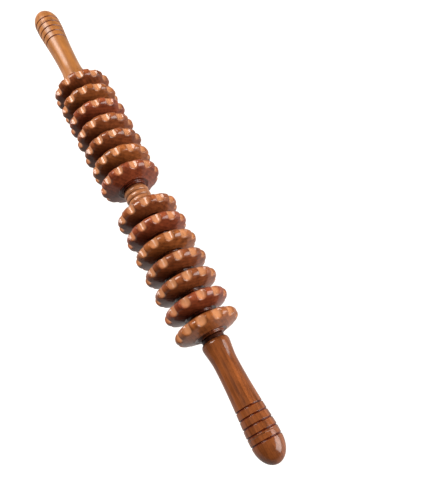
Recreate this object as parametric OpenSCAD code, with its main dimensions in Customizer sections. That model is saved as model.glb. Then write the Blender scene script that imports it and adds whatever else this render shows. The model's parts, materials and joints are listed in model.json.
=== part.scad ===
// Wooden roller massager: two turned handles on one through dowel, fourteen notched
// wheels that spin freely in two groups, and a beaded spacer between the groups.
// The dowel lies along X, with the origin at its middle. Sizes are in millimetres.

/* [Wheels] */
// Diameter over the ridges between the notches
wheel_d = 52; // [48:1:60]
// Distance from one wheel to the next
wheel_pitch = 17.8; // [16:0.1:20]
// Free gap between the bearing bosses of two neighbouring wheels
wheel_gap = 0.3; // [0.2:0.1:0.6]
// Full width of the oval that rounds the rim
rim_w = 8.6; // [7:0.2:9.6]
// Height of that oval, from its widest part to the rim
rim_len = 4.4; // [3.6:0.2:5]
// Diameter of the hub shoulder where the cone ends
hub_d = 29; // [26:0.5:32]
// Distance between the two hub shoulders of a wheel
hub_w = 14.4; // [13:0.2:15]
// Diameter of the bearing boss that touches the next wheel
boss_d = 21; // [18:0.5:23]
// Notches round each wheel
notches = 12; // [10:1:14]
// Radius of the round cutter that makes a notch
notch_r = 3.8; // [3.2:0.1:4.4]
// Depth of a notch
notch_depth = 3; // [1.8:0.1:3.2]

/* [Dowel] */
// Diameter of the dowel
dowel_d = 12; // [10:1:14]
// Length of dowel glued into each handle
dowel_grip = 40; // [25:5:55]
// Running clearance between wheel bore and dowel, on the radius
bore_clearance = 0.08; // [0.02:0.02:0.1]

/* [Centre spacer] */
// Length of the beaded spacer
spacer_len = 17.8; // [16:0.1:24]
// Number of beads turned on it
beads = 3; // [2:1:3]
// Length of one bead
bead_len = 4.9; // [4:0.1:5.2]
// Diameter over the beads
bead_d = 21.4; // [19:0.2:24]
// Diameter at the two ends and in the grooves between beads
spacer_neck_d = 18.6; // [17:0.2:20]

/* [End collars] */
// Length of the collar between the last wheel and the handle
collar_len = 3.2; // [2:0.2:5]
// Diameter of the collar
collar_d = 18; // [16:0.5:20]

/* [Handles] */
// Length of a handle
handle_len = 95.9; // [90:0.1:120]
// Diameter of the rounded foot next to the collar
foot_d = 22; // [21.5:0.5:24]
// Diameter at the waist
waist_d = 18.6; // [17.5:0.2:21]
// Diameter at the widest part
belly_d = 23.9; // [22:0.1:26]
// Length of the rounded end
end_len = 16; // [10:1:20]
// Decorative grooves round the handle
groove_count = 5; // [3:1:6]
// Distance between two grooves
groove_pitch = 6.25; // [5.5:0.05:6.5]
// Width of a groove
groove_w = 1.5; // [1:0.1:2]
// Depth of a groove
groove_depth = 0.6; // [0.4:0.1:0.8]

/* [Hidden] */
// Wheels in each group; the list of nodes below names every one of them
wheels_per_side = 7;

// Resting turn of each wheel in degrees, from the centre outwards. The wheels are
// loose, so each one stops where it likes.
left_turns = [29, 11, 22, 25, 20, 10, 19];
right_turns = [15, 19, 25, 23, 20, 26, 5];

wheel_r = wheel_d / 2;
boss_half = (wheel_pitch - wheel_gap) / 2;
first_wheel_x = spacer_len / 2 + wheel_gap + boss_half;
last_wheel_x = first_wheel_x + (wheels_per_side - 1) * wheel_pitch;
collar_x = last_wheel_x + boss_half + wheel_gap;
handle_x = collar_x + collar_len;
dowel_len = 2 * (handle_x + dowel_grip);

// Rounding of the hub shoulder, and how far the hub face dips towards the boss
hub_round = 1.2;
hub_dish = 0.5;

// Stretches of the handle, measured from its foot
foot_len = 3.2;
waist_at = 19.6;
belly_before_end = 7.8;
belly_at = handle_len - end_len - belly_before_end;
last_groove_inset = 1;
last_groove_at = handle_len - end_len - last_groove_inset;

FINE = 96;
ARC_STEPS = 6;
CURVE_STEPS = 12;
CUT = 1;

// Radius along the handle as t goes from 0 to 1: a quick drop from the foot into the
// waist, and a slow swell from the waist out to the widest part
function foot_to_waist(t) = foot_d / 2 + (waist_d - foot_d) / 2 * pow(sin(90 * t), 1.3);
function waist_to_belly(t) = waist_d / 2 + (belly_d - waist_d) / 2 * (1 - pow(1 - t * t, 1.25));

// Quarter of an ellipse about (x, r): half-axes ax and ar, from angle a0 to a1
function arc(x, r, ax, ar, a0, a1) =
    [for (i = [0:ARC_STEPS]) let (a = a0 + (a1 - a0) * i / ARC_STEPS)
        [r + ar * sin(a), x + ax * cos(a)]];

// Turns a profile of [radius, distance along X] points round the X axis
module turned(points) {
    rotate([0, 90, 0]) rotate_extrude($fn = FINE) polygon(points);
}

// A plain round bore along X
module bore(x0, x1, r) {
    translate([x0, 0, 0]) rotate([0, 90, 0]) cylinder(h = x1 - x0, r = r, $fn = FINE);
}

// Right half of a wheel's outline, from the top of the rounded rim down the cone and the
// hub shoulder to the bearing face. The two angles are where the cone leaves the curves.
function half_rim() = concat(
    arc(0, wheel_r - rim_len, rim_w / 2, rim_len, 90, 18),
    arc(hub_w / 2 - hub_round, hub_d / 2 - hub_round, hub_round, hub_round, 45, 0),
    [[boss_d / 2, hub_w / 2 - hub_dish], [boss_d / 2, boss_half]]
);

// One notched wheel, centred on the origin, with a ridge upwards
module wheel_blank() {
    right_side = half_rim();
    left_side = [for (i = [len(right_side) - 1:-1:1]) [right_side[i][0], -right_side[i][1]]];
    bore_r = dowel_d / 2 + bore_clearance;
    difference() {
        turned(concat(
            [[bore_r, -boss_half]], left_side, right_side, [[bore_r, boss_half]]
        ));
        for (i = [0:notches - 1])
            rotate([(i + 0.5) * 360 / notches, 0, 0])
                translate([0, 0, wheel_r - notch_depth + notch_r])
                    bore(-wheel_r, wheel_r, notch_r);
    }
}

// The wheel number index of one group; side is -1 on the left and 1 on the right
module wheel(side, index) {
    turn = side < 0 ? left_turns[index - 1] : right_turns[index - 1];
    color("sienna")
        translate([side * (first_wheel_x + (index - 1) * wheel_pitch), 0, 0])
            rotate([-turn, 0, 0])
                wheel_blank();
}

module dowel() {
    color("peru") bore(-dowel_len / 2, dowel_len / 2, dowel_d / 2);
}

// Bored ring between the last wheel and the handle; side as for wheel()
module collar(side) {
    round_r = 0.6;
    color("saddlebrown")
        mirror([side < 0 ? 1 : 0, 0, 0])
            translate([collar_x, 0, 0])
                turned(concat(
                    [[dowel_d / 2, 0]],
                    arc(round_r, collar_d / 2 - round_r, round_r, round_r, 180, 90),
                    arc(collar_len - round_r, collar_d / 2 - round_r, round_r, round_r, 90, 0),
                    [[dowel_d / 2, collar_len]]
                ));
}

// Sleeve with rounded beads side by side, and a plain neck at each end
module centre_spacer() {
    beads_len = beads * bead_len;
    bulge = (bead_d - spacer_neck_d) / 2;
    outline = [
        for (b = [0:beads - 1], i = [b == 0 ? 0 : 1:ARC_STEPS])
            let (a = 180 * i / ARC_STEPS, mid = (b + 0.5) * bead_len - beads_len / 2)
                [spacer_neck_d / 2 + bulge * sin(a), mid - bead_len / 2 * cos(a)]
    ];
    color("chocolate")
        turned(concat(
            [[dowel_d / 2, -spacer_len / 2], [spacer_neck_d / 2, -spacer_len / 2]],
            outline,
            [[spacer_neck_d / 2, spacer_len / 2], [dowel_d / 2, spacer_len / 2]]
        ));
}

// Outline of a handle from its foot to the tip, without the grooves
function handle_outline() = concat(
    arc(foot_len, waist_d / 2, foot_len, (foot_d - waist_d) / 2, 180, 90),
    [for (i = [1:CURVE_STEPS]) let (t = i / CURVE_STEPS)
        [foot_to_waist(t), foot_len + (waist_at - foot_len) * t]],
    [for (i = [1:CURVE_STEPS]) let (t = i / CURVE_STEPS)
        [waist_to_belly(t), waist_at + (belly_at - waist_at) * t]],
    arc(handle_len - end_len, 0, end_len, belly_d / 2, 90, 0)
);

// Turned handle with a blind bore for the dowel; side as for wheel()
module handle(side) {
    color("chocolate")
        mirror([side < 0 ? 1 : 0, 0, 0])
            translate([handle_x, 0, 0])
                difference() {
                    turned(concat([[0, 0]], handle_outline()));
                    bore(-CUT, dowel_grip, dowel_d / 2);
                    for (i = [0:groove_count - 1])
                        handle_groove(last_groove_at - i * groove_pitch);
                }
}

// Cutter for one groove with slanted walls, centred at distance x from the foot
module handle_groove(x) {
    floor_r = handle_r(x) - groove_depth;
    top_r = floor_r + groove_depth + CUT;
    floor_half = groove_w / 4;
    top_half = floor_half + groove_w / 4 * (groove_depth + CUT) / groove_depth;
    turned([
        [floor_r, x - floor_half], [top_r, x - top_half],
        [top_r, x + top_half], [floor_r, x + floor_half]
    ]);
}

// Radius of the handle at distance x from its foot, between waist and rounded end
function handle_r(x) =
    x > belly_at ? belly_d / 2 : waist_to_belly((x - waist_at) / (belly_at - waist_at));

dowel();
handle(-1);  // left_handle
handle(1);  // right_handle
collar(-1);  // left_collar
collar(1);  // right_collar
centre_spacer();
for (i = [1:wheels_per_side]) {
    wheel(-1, i);
    wheel(1, i);
}
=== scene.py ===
"""Wooden roller massager: fourteen notched beech wheels on a dowel between two turned handles.

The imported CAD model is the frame. Each wheel, handle, collar and the spacer is turned here again
with sanded edges, and takes the place of its CAD node. The dowel keeps its CAD shape.
"""

import json
import math

import bpy
import numpy as np
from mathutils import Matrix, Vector


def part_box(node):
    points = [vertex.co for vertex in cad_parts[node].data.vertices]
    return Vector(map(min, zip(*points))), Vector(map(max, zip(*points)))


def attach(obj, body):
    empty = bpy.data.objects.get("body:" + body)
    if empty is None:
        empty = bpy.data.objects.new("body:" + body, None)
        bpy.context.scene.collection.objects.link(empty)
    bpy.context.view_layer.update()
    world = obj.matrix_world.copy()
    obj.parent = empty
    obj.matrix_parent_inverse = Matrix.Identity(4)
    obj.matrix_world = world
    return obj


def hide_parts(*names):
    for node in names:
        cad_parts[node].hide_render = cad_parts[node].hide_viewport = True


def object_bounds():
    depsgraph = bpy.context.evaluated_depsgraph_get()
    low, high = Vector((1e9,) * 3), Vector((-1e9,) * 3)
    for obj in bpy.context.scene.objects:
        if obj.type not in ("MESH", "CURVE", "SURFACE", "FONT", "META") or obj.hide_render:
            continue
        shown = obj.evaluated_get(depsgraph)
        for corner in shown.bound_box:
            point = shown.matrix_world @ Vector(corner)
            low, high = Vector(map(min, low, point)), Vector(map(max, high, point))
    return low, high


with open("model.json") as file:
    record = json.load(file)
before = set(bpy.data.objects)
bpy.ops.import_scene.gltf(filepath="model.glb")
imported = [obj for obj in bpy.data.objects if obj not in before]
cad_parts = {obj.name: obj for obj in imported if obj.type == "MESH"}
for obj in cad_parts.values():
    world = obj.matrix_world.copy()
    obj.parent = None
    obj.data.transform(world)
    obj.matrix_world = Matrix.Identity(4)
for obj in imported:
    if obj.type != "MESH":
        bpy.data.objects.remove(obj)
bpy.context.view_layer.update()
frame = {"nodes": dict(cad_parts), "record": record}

# The sizes of the roller's pieces are in millimetres, and turned() brings them to metres.
MM = 0.001

# The wheels. The profile runs from the middle of the rim to the bearing face.
WHEELS_PER_SIDE = 7
NOTCHES = 12
WHEEL_R = 26.0
RIM_HALF = 4.3
RIM_LEN = 4.4
HUB_R = 14.5
HUB_HALF = 7.2
HUB_ROUND = 1.2
HUB_DISH = 0.5
BOSS_R = 10.5
BOSS_HALF = 8.75
BOSS_BEVEL = 0.2
BORE_R = 6.08
NOTCH_R = 3.8
NOTCH_DEPTH = 3.0
# How far the depth of a hand-cut notch may stray from that, shallower and deeper
NOTCH_SPREAD = (-0.2, 0.1)
# Width of the sanded edge between a notch and the rim
SANDED = 2.0
# A point on the cone just below the notches, where the mesh may turn coarser
BELOW_NOTCHES = (4.7, 21.0)
# How far below the hub shoulder the painted shade of the hub recess reaches
HUB_SHADE_REACH = 3.0

# The spacer and the collars
BEADS = 3
BEAD_LEN = 4.9
BEAD_R = 10.7
# Width of the painted shade in the creases between the beads
BEAD_SHADE_REACH = 0.5
SPACER_NECK_R = 9.3
DOWEL_R = 6.0
COLLAR_ROUND = 0.6

# The handles, measured along their length from the foot
FOOT_LEN = 3.2
FOOT_R = 11.0
WAIST_AT = 19.6
WAIST_R = 9.3
BELLY_AT = 72.1
BELLY_R = 11.95
END_LEN = 16.0
POLE_R = 0.02
GRIP = 40.0
GROOVES = 5
GROOVE_PITCH = 6.25
LAST_GROOVE_INSET = 1.0
GROOVE_HALF = 0.75
GROOVE_DEPTH = 0.6
# The mesh is finer over this distance either side of a groove
GROOVE_ZONE = 1.4
# Half width of the band that is burnt through, and the distance over which the burn fades out
BURNT_HALF = 0.6 * GROOVE_HALF
SCORCH = 0.5

# Small bevel on the turned edges of the hubs and the spacer
EDGE_BREAK = 0.3

# Longest step between mesh points along an outline: beside the notches, on the spacer and the
# collars, and elsewhere
FINE_STEP = 0.4
MIDDLE_STEP = 0.5
PLAIN_STEP = 1.0

# Mesh points round a piece that has no notches
ROUND_STEPS = 160

rng = np.random.default_rng(12)


# ---------------------------------------------------------------- shapes

def arc(x, r, ax, ar, start, end, steps=10):
    """Points (along, radius) of an ellipse about (x, r), from angle start to end in degrees."""
    a = np.radians(np.linspace(start, end, steps + 1))
    return list(zip(x + ax * np.cos(a), r + ar * np.sin(a)))


def refined(outline, step):
    """The same outline with points no further apart than step."""
    fine = [outline[0]]
    for (x0, r0), (x1, r1) in zip(outline, outline[1:]):
        pieces = max(1, math.ceil(math.hypot(x1 - x0, r1 - r0) / step))
        for i in range(1, pieces + 1):
            fine.append((x0 + (x1 - x0) * i / pieces, r0 + (r1 - r0) * i / pieces))
    return fine


def softer(a, b, reach):
    """The smaller of a and b, with the corner between them rounded over the given reach."""
    h = np.clip(0.5 + 0.5 * (b - a) / reach, 0, 1)
    return b + (a - b) * h - reach * h * (1 - h)


def slopes(outline):
    """How far each point of an outline faces along the axis: 0 on a straight side, 1 on an end face."""
    x, r = np.array(outline).T
    dx, dr = np.gradient(x), np.gradient(r)
    return np.abs(dr) / np.maximum(np.hypot(dx, dr), 1e-9)


def turned(name, along, radius, angles, **shades):
    """A closed mesh turned about X. along has a value per outline point, and radius a row per point
    with a column per angle, both in millimetres. shades are values per vertex, kept as attributes."""
    rows, columns = radius.shape
    x = np.broadcast_to(along[:, None], radius.shape)
    points = np.stack([x, radius * np.sin(angles), radius * np.cos(angles)], axis=-1) * MM
    row = np.arange(rows)[:, None]
    column = np.arange(columns)[None, :]
    next_row = (row + 1) % rows
    next_column = (column + 1) % columns
    corners = [(row, column), (row, next_column), (next_row, next_column), (next_row, column)]
    faces = np.stack([on_row * columns + on_column for on_row, on_column in corners], axis=-1)
    mesh = bpy.data.meshes.new(name)
    mesh.from_pydata(points.reshape(-1, 3).tolist(), [], faces.reshape(-1, 4).tolist())
    for label, values in shades.items():
        spread = np.broadcast_to(values, radius.shape).astype(np.float32).ravel()
        mesh.attributes.new(label, "FLOAT", "POINT").data.foreach_set("value", spread)
    mesh.shade_smooth()
    mesh.update()
    return mesh


def turned_plain(name, along, radius, angles, **shades):
    """turned() for a piece that is round everywhere, with one radius and one shade per outline point."""
    columns = np.repeat(radius[:, None], len(angles), axis=1)
    return turned(name, along, columns, angles, **{label: row[:, None] for label, row in shades.items()})


def round_angles():
    return np.linspace(0, 2 * np.pi, ROUND_STEPS, endpoint=False)


def piece(name, mesh, material, node, x=0.0):
    """Puts a finished piece in place of the CAD node of that name, x metres along the dowel."""
    made = bpy.data.objects.new(name, mesh)
    made.location.x = x
    made.data.materials.append(material)
    bpy.context.scene.collection.objects.link(made)
    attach(made, body_holding(node))
    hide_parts(node)


def body_holding(node):
    bodies = frame["record"]["behaviour"]["bodies"]
    return next(body for body, nodes in bodies.items() if node in nodes)


# ---------------------------------------------------------------- wheels

def wheel_outline():
    """Half of a wheel's outline, from the top of the rounded rim to the bore at the bearing face."""
    rim = arc(0, WHEEL_R - RIM_LEN, RIM_HALF, RIM_LEN, 90, 18, 20)
    cone = refined([rim[-1], BELOW_NOTCHES], FINE_STEP)[1:]
    shoulder = arc(HUB_HALF - HUB_ROUND, HUB_R - HUB_ROUND, HUB_ROUND, HUB_ROUND, 45, 0)
    face = [
        (HUB_HALF - EDGE_BREAK, HUB_R - HUB_ROUND - 2 * EDGE_BREAK),
        (HUB_HALF - HUB_DISH, BOSS_R + HUB_DISH),
    ]
    boss = [
        (HUB_HALF - EDGE_BREAK, BOSS_R),
        (BOSS_HALF - BOSS_BEVEL, BOSS_R),
        (BOSS_HALF, BOSS_R - EDGE_BREAK),
        (BOSS_HALF, BORE_R),
    ]
    return rim + cone + refined([BELOW_NOTCHES] + shoulder + face + boss, PLAIN_STEP)[1:]


def notch_steps():
    """Angles in degrees from the middle of one notch to the next, closest together on the notch walls."""
    middle = 180 / NOTCHES
    wall_start = 5.5
    wall_end = 10
    floor = np.arange(0, wall_start, 1.1)
    wall = np.arange(wall_start, wall_end, 0.45)
    ridge = np.arange(wall_end, middle, 1.25)
    half = [*floor, *wall, *ridge]
    return np.array([*half, middle, *[2 * middle - a for a in half[:0:-1]]])


def notch_radius(offset, depth):
    """Radius of a notch's surface at a distance from its middle line: a round floor and steep walls."""
    reach = 0.97 * NOTCH_R
    wall = 4.0
    inside = np.minimum(np.abs(offset), reach)
    floor = WHEEL_R - depth + NOTCH_R - np.sqrt(NOTCH_R ** 2 - inside ** 2)
    return floor + wall * np.maximum(np.abs(offset) - reach, 0)


def wheel_mesh(name, turn):
    """A notched wheel about the origin, with a ridge at the given turn from straight up towards +Y.
    The notches are cut by hand, so they differ a little."""
    half = wheel_outline()
    outline = [(-x, r) for x, r in half[:0:-1]] + half
    along, plain = np.array(outline).T
    pitch = 360 / NOTCHES
    local = notch_steps()
    from_notch = np.radians(local) * WHEEL_R
    to_next = math.radians(pitch) * WHEEL_R - from_notch
    depths = NOTCH_DEPTH + rng.uniform(*NOTCH_SPREAD, NOTCHES)
    angles, notches = [], []
    for number in range(NOTCHES):
        angles.append((number + 0.5) * pitch + local)
        here = notch_radius(from_notch, depths[number])
        after = notch_radius(to_next, depths[(number + 1) % NOTCHES])
        notches.append(np.minimum(here, after))
    angles = np.radians(np.concatenate(angles)) + turn
    radius = softer(plain[:, None], np.concatenate(notches)[None, :], SANDED)
    fully_cut = 0.7 * NOTCH_DEPTH
    # The notch floors, which the material makes lighter: partly thinner stain, partly painted light
    cut = np.clip((plain[:, None] - radius) / fully_cut, 0, 1)
    # Faces along the axis darken: partly end grain, partly painted shade on the flanks between the wheels
    end_grain = slopes(outline)[:, None] * (1 - cut)
    # Painted shade in the hub recess between the wheels, from the hub shoulder inwards
    crease = np.clip((HUB_R - plain) / HUB_SHADE_REACH, 0, 1)[:, None]
    return turned(name, along, radius, angles, cut=cut, end_grain=end_grain, crease=crease)


def resting_turn(node):
    """How far a CAD wheel's ridges are turned from straight up, in radians towards +Y."""
    co = np.array([v.co[:] for v in frame["nodes"][node].data.vertices])
    radius = np.hypot(co[:, 1], co[:, 2])
    slack = 0.02 * MM
    tops = co[radius > radius.max() - slack]
    phase = np.exp(1j * NOTCHES * np.arctan2(tops[:, 1], tops[:, 2])).mean()
    return float(np.angle(phase)) / NOTCHES


def make_wheel(node, material):
    low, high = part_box(node)
    mesh = wheel_mesh(node + "_turned", resting_turn(node))
    piece(node + "_turned", mesh, material, node, (low.x + high.x) / 2)


# ---------------------------------------------------------------- handles, spacer and collars

def foot_to_waist(t):
    return np.sin(np.pi / 2 * t) ** 1.3


def waist_to_belly(t):
    return 1 - (1 - t ** 2) ** 1.25


def stretch(x0, x1, r0, r1, share):
    """A curved stretch of a handle after its first point. share(t) is how far the radius has changed."""
    t = np.linspace(0, 1, 30)[1:]
    return list(zip(x0 + (x1 - x0) * t, r0 + (r1 - r0) * share(t)))


def handle_outline(length):
    """Outline of a handle from its foot to just before the tip, without the grooves."""
    foot = arc(FOOT_LEN, WAIST_R, FOOT_LEN, FOOT_R - WAIST_R, 180, 90)
    waist = stretch(FOOT_LEN, WAIST_AT, FOOT_R, WAIST_R, foot_to_waist)
    belly = stretch(WAIST_AT, BELLY_AT, WAIST_R, BELLY_R, waist_to_belly)
    tip = arc(length - END_LEN, 0, END_LEN, BELLY_R, 90, 0.5, 40)
    return refined(foot + waist + belly + tip, PLAIN_STEP)


def groove_middles(length):
    last = length - END_LEN - LAST_GROOVE_INSET
    return [last - i * GROOVE_PITCH for i in range(GROOVES)]


def handle_mesh(name, side, foot_x, length):
    """A turned handle with its scorched grooves. side is 1 for the right one, and -1 for the left one,
    its mirror image."""
    x, r = np.array(handle_outline(length)).T
    middles = groove_middles(length)
    zones = [g + np.linspace(-GROOVE_ZONE, GROOVE_ZONE, 29) for g in middles]
    fine = np.unique(np.concatenate([x] + zones))
    r = np.interp(fine, x, r)
    gap = np.min([np.abs(fine - g) for g in middles], axis=0)
    groove = np.clip(1 - gap / GROOVE_HALF, 0, 1)
    r = r - GROOVE_DEPTH * (groove * groove * (3 - 2 * groove))
    scorched = np.clip(1 - (gap - BURNT_HALF) / SCORCH, 0, 1)
    # The blind bore, the flat foot face and the pole of the tip close the outline.
    x = np.concatenate([[GRIP, 0], fine, [length, GRIP]])
    r = np.concatenate([[DOWEL_R, DOWEL_R], r, [POLE_R, POLE_R]])
    scorched = np.concatenate([[0, 0], scorched, [0, 0]])
    end_grain = slopes(list(zip(x, r)))
    along = side * (foot_x / MM + x)
    return turned_plain(name, along, r, round_angles() * side, scorched=scorched, end_grain=end_grain)


def make_handle(side, material):
    node = "right_handle" if side > 0 else "left_handle"
    low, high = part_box(node)
    foot_x = low.x if side > 0 else -high.x
    mesh = handle_mesh(node + "_turned", side, foot_x, (high.x - low.x) / MM)
    piece(node + "_turned", mesh, material, node)


def make_spacer(material):
    """The beaded sleeve between the two groups of wheels."""
    _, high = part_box("centre_spacer")
    half = high.x / MM
    bulge = BEAD_R - SPACER_NECK_R
    beads = []
    for bead in range(BEADS):
        middle = (bead + 0.5 - BEADS / 2) * BEAD_LEN
        beads += arc(middle, SPACER_NECK_R, BEAD_LEN / 2, bulge, 180, 0, 16)[bead > 0:]
    left_end = [(-half, DOWEL_R), (-half, SPACER_NECK_R - EDGE_BREAK), (EDGE_BREAK - half, SPACER_NECK_R)]
    right_end = [(-x, r) for x, r in left_end[::-1]]
    outline = refined(left_end + beads + right_end, MIDDLE_STEP)
    x, r = np.array(outline).T
    # Painted shade in the creases between the beads
    crease = np.clip((SPACER_NECK_R + BEAD_SHADE_REACH - r) / BEAD_SHADE_REACH, 0, 1)
    mesh = turned_plain("beaded_spacer", x, r, round_angles(), end_grain=slopes(outline), crease=crease)
    piece("beaded_spacer", mesh, material, "centre_spacer")


def make_collar(side, material):
    """The dark ring between the last wheel and a handle; its near-black colour is partly painted shade."""
    node = "right_collar" if side > 0 else "left_collar"
    low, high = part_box(node)
    x0, x1, r = low.x / MM, high.x / MM, high.z / MM
    edge_r = r - COLLAR_ROUND
    left_edge = arc(x0 + COLLAR_ROUND, edge_r, COLLAR_ROUND, COLLAR_ROUND, 180, 90)
    right_edge = arc(x1 - COLLAR_ROUND, edge_r, COLLAR_ROUND, COLLAR_ROUND, 90, 0)
    outline = [(x0, DOWEL_R)] + left_edge + right_edge + [(x1, DOWEL_R)]
    x, r = np.array(refined(outline, MIDDLE_STEP)).T
    mesh = turned_plain(node + "_ring", x, r, round_angles())
    piece(node + "_ring", mesh, material, node)


# ---------------------------------------------------------------- finishes

# The wood's patterns in repeats per metre. Both of the first two are longer along the dowel.
FIGURE = (45, 210, 210)  # mottled figure, 22 mm long and 5 mm wide
PORES = (70, 1500, 1500)  # pores, 14 mm long and 0.7 mm wide: coarser than in beech, so that they show
YEAR_RINGS = 100.0  # the rings texture makes 20 / (2 pi) bands per unit, so they are 3 mm apart
ORANGE_PEEL = 260.0  # ripples in the sprayed lacquer, 4 mm across

# What the stain and the lathe do to the wood, with painted shade on the wheel flanks and in the creases
# and painted light on the notch floors. The first three are multiplied into its colour.
# Partly end grain soaking up stain, partly painted shade on the flanks between the wheels
SOAKED_END_GRAIN_AND_SHADE = "#94583C"
# Painted shade in the hub recesses and the creases between the beads
PAINTED_SHADE_IN_CREASES = "#A07050"
BURNT = "#B88260"
# Partly thinner stain on scraped wood, partly painted light on the notch floors
SCRAPED_NOTCH_AND_LIGHT = "#8A6042"

# Pale and deep tone of the wheels. They come from different boards, so neighbours differ a little.
STAINS = [("#7C4626", "#46220E"), ("#764023", "#401F0C"), ("#824C26", "#4A260E"), ("#7A3E24", "#441C0D")]


def shade(code):
    """An sRGB hex colour as linear numbers."""
    values = [int(code[i:i + 2], 16) / 255 for i in (1, 3, 5)]
    return [v / 12.92 if v <= 0.04045 else ((v + 0.055) / 1.055) ** 2.4 for v in values] + [1]


def add(tree, kind, inputs=None, **settings):
    """Adds a node with its settings. inputs gives sockets their numbers, or the outputs linked to them."""
    node = tree.nodes.new("ShaderNode" + kind)
    for name, value in settings.items():
        setattr(node, name, value)
    for key, value in (inputs or {}).items():
        if isinstance(value, bpy.types.NodeSocket):
            tree.links.new(value, node.inputs[key])
        else:
            node.inputs[key].default_value = value
    return node


def stained_beech(name, pale, deep, seed, soak_and_shade=0.45, gloss=0.3, haze=0.14):
    """Beech turned on a lathe, stained and lacquered to a gloss. It is darker where the end grain soaks up
    the stain, with painted shade on the wheel flanks between the wheels, and painted shade in the creases.
    It is
    lighter on the notch floors: partly thinner stain on the scraped wood, partly painted light. gloss is
    the weight of the coat, and haze its roughness, which spreads the highlights."""
    material = bpy.data.materials.new(name)
    material.use_nodes = True
    tree = material.node_tree
    tree.nodes.clear()
    place = add(tree, "TexCoord").outputs["Object"]
    # Each piece is cut from another spot of a board, with the heart of the tree outside the piece.
    board = (0.37 * seed, 0.045 + 0.003 * (seed % 5), 0.02 * (seed % 7))
    shifted = add(tree, "VectorMath", {0: place, 1: board}, operation="ADD").outputs[0]

    def wood_noise(repeats, **inputs):
        scaled = add(tree, "VectorMath", {0: shifted, 1: repeats}, operation="MULTIPLY").outputs[0]
        return add(tree, "TexNoise", {"Vector": scaled, "Scale": 1.0, **inputs}).outputs["Fac"]

    figure = wood_noise(FIGURE, Detail=4.0, Roughness=0.6)
    pores = wood_noise(PORES, Detail=2.0)
    ring_shape = {"Scale": YEAR_RINGS, "Distortion": 3.0, "Detail": 2.0, "Detail Scale": 0.4}
    rings = add(
        tree, "TexWave", {"Vector": shifted, **ring_shape},
        wave_type="RINGS", rings_direction="X", wave_profile="SAW",
    ).outputs["Fac"]
    tone = add(tree, "Math", {0: figure, 1: 1.5, 2: -0.35}, operation="MULTIPLY_ADD").outputs[0]
    tone = add(tree, "Math", {0: rings, 1: 0.25, 2: tone}, operation="MULTIPLY_ADD").outputs[0]
    darker = {0: pores, 1: 0.3, 2: tone}
    tone = add(tree, "Math", darker, operation="MULTIPLY_ADD", use_clamp=True).outputs[0]
    wood = add(tree, "Mix", {0: tone, 6: shade(pale), 7: shade(deep)}, data_type="RGBA").outputs[2]

    def worked(colour, by, label, amount, how="MULTIPLY"):
        """The colour changed by another one, where the mesh says that the wood was worked that way."""
        there = add(tree, "Attribute", attribute_name=label).outputs["Fac"]
        share = {0: there, 1: amount}
        share = add(tree, "Math", share, operation="MULTIPLY", use_clamp=True).outputs[0]
        mixed = {0: share, 6: colour, 7: shade(by)}
        return add(tree, "Mix", mixed, data_type="RGBA", blend_type=how).outputs[2]

    # Darker on faces along the axis: partly end grain soaking up stain, partly painted shade on the wheel
    # flanks
    wood = worked(wood, SOAKED_END_GRAIN_AND_SHADE, "end_grain", soak_and_shade)
    # Lighter on the notch floors: partly thinner stain on scraped wood, partly painted light
    wood = worked(wood, SCRAPED_NOTCH_AND_LIGHT, "cut", 0.7, "MIX")
    # Painted shade in the hub recesses and the creases between the beads
    wood = worked(wood, PAINTED_SHADE_IN_CREASES, "crease", 0.8)
    wood = worked(wood, BURNT, "scorched", 1.0)

    ripples = add(tree, "TexNoise", {"Vector": place, "Scale": ORANGE_PEEL, "Detail": 1.0}).outputs["Fac"]
    coat_bump = add(tree, "Bump", {"Height": ripples, "Strength": 0.12, "Distance": 0.0006}).outputs[0]
    pore_bump = add(tree, "Bump", {"Height": pores, "Strength": 0.25, "Distance": 0.0003}).outputs[0]
    # The lacquer soaks the wood, so next to nothing shines below the coat.
    surface = add(tree, "BsdfPrincipled", {
        "Base Color": wood, "Roughness": 0.5, "IOR": 1.5, "Specular IOR Level": 0.03, "Normal": pore_bump,
        "Coat Weight": gloss, "Coat Roughness": haze, "Coat IOR": 1.5, "Coat Normal": coat_bump,
    })
    add(tree, "OutputMaterial", {"Surface": surface.outputs[0]})
    return material


def wheel_beech(group, number, seed):
    """Red-brown to golden-brown wheels: flanks darkened by end grain and painted shade between them, and a
    row of notches lightened by thinner stain and painted light.
    """
    pale, deep = STAINS[seed * 3 % len(STAINS)]
    return stained_beech(f"wheel_beech_{group}_{number}", pale, deep, seed)


def right_handle_beech():
    """Took the stain more deeply than the left handle, whose paler colour is partly painted light: a warm
    red-brown with narrow, glassy highlights.
    """
    return stained_beech("handle_beech_right", "#6E3C1B", "#3E1E0A", 21, 0.3)


def left_handle_beech_stain_and_light():
    """Paler and golden: partly a paler stain, partly painted light for the strong key light on this
    handle. Its duller coat spreads its highlight along the grip.
    """
    # The paler colours are partly painted light from the key beyond this handle
    return stained_beech("handle_beech_left_stain_and_light", "#82542A", "#583619", 24, 0.3, haze=0.32)


def spacer_beech():
    """A paler, browner sleeve, which sets the beads off from the wheels on both sides."""
    return stained_beech("spacer_beech", "#8C6040", "#5E3820", 31, 0.4)


def collar_beech_stain_and_shade():
    """Nearly black with a thin coat: partly dark stain, partly painted shade for the shadowed gap, so that
    a collar reads as a dark line.
    """
    # Near-black colours: partly dark stain, partly painted shade in the gap by the handle
    return stained_beech("collar_beech_stain_and_shade", "#3C1C0E", "#240E06", 33, gloss=0.15)


def dowel_beech():
    """Pale and unstained, as the wheels and handles hide it."""
    return stained_beech("dowel_beech", "#C09A6A", "#A07848", 35)


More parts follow.
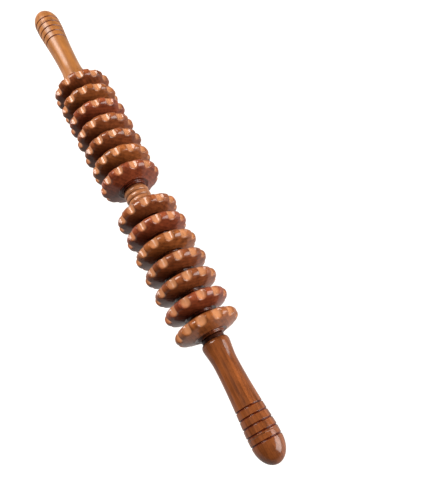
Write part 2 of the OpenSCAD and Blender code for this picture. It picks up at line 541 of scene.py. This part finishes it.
def opal_acrylic():
    """Opal acrylic over a lit panel: a dull white glow, bright enough to wash out every shadow."""
    material = bpy.data.materials.new("opal_acrylic_table")
    material.use_nodes = True
    surface = material.node_tree.nodes["Principled BSDF"]
    surface.inputs["Base Color"].default_value = shade("#303030")
    surface.inputs["Roughness"].default_value = 0.6
    surface.inputs["Emission Color"].default_value = shade("#FFFBF7")
    surface.inputs["Emission Strength"].default_value = 1.1
    return material


# ---------------------------------------------------------------- stage

def make_floor():
    low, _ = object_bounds()
    half = 4.0
    mesh = bpy.data.meshes.new("table_top")
    corners = [(-half, -half, low.z), (half, -half, low.z), (half, half, low.z), (-half, half, low.z)]
    mesh.from_pydata(corners, [], [(0, 1, 2, 3)])
    mesh.materials.append(opal_acrylic())
    floor = bpy.data.objects.new("table_top", mesh)
    bpy.context.scene.collection.objects.link(floor)


def make_softbox(name, place, width, height, power, colour="#FFFFFF"):
    """A soft rectangular light at a place in metres, facing the middle of the roller."""
    light = bpy.data.lights.new(name, "AREA")
    light.shape = "RECTANGLE"
    light.size, light.size_y = width, height
    light.energy = power
    light.color = shade(colour)[:3]
    lamp = bpy.data.objects.new(name, light)
    lamp.location = place
    lamp.rotation_euler = (-Vector(place)).to_track_quat("-Z", "Y").to_euler()
    lamp.visible_camera = False
    bpy.context.scene.collection.objects.link(lamp)


def make_lights():
    """A strong key light from beyond the left handle, and two weaker ones on the +Y side."""
    world = bpy.data.worlds.new("pale_room")
    world.use_nodes = True
    background = world.node_tree.nodes["Background"]
    background.inputs["Color"].default_value = shade("#FFFFFF")
    background.inputs["Strength"].default_value = 0.08
    bpy.context.scene.world = world
    make_softbox("key", (-0.8, -0.5, 1.0), 0.8, 0.8, 72, "#FFF6EE")
    make_softbox("window", (0.6, 0.95, 0.5), 1.2, 0.8, 42)
    make_softbox("bounce", (0.7, 1.1, 0.5), 1.0, 1.0, 18, "#FFF0E4")


def make_camera():
    """Looks down along the roller from above the end of the right handle."""
    data = bpy.data.cameras.new("camera")
    data.lens = 39.74
    data.sensor_width = 36
    data.clip_start = 0.01
    camera = bpy.data.objects.new("camera", data)
    camera.location = (0.2309, -0.0479, 0.4033)
    towards = Vector((-0.3617, 0.187, -0.9133))
    camera.rotation_euler = towards.to_track_quat("-Z", "Y").to_euler()
    bpy.context.scene.collection.objects.link(camera)
    bpy.context.scene.camera = camera


# ---------------------------------------------------------------- the roller

def make_wheels():
    for before, group in ((0, "left"), (WHEELS_PER_SIDE, "right")):
        for number in range(1, WHEELS_PER_SIDE + 1):
            make_wheel(f"{group}_wheel_{number}", wheel_beech(group, number, before + number))


def make_handles():
    right = right_handle_beech()
    left = left_handle_beech_stain_and_light()
    make_handle(1, right)
    make_handle(-1, left)


def make_collars():
    material = collar_beech_stain_and_shade()
    make_collar(-1, material)
    make_collar(1, material)


def finish_dowel():
    dowel = frame["nodes"]["dowel"]
    dowel.data.materials.clear()
    dowel.data.materials.append(dowel_beech())


make_camera()
make_floor()
make_lights()
bpy.context.scene.view_settings.view_transform = "Standard"

make_wheels()
make_handles()
make_spacer(spacer_beech())
make_collars()
finish_dowel()
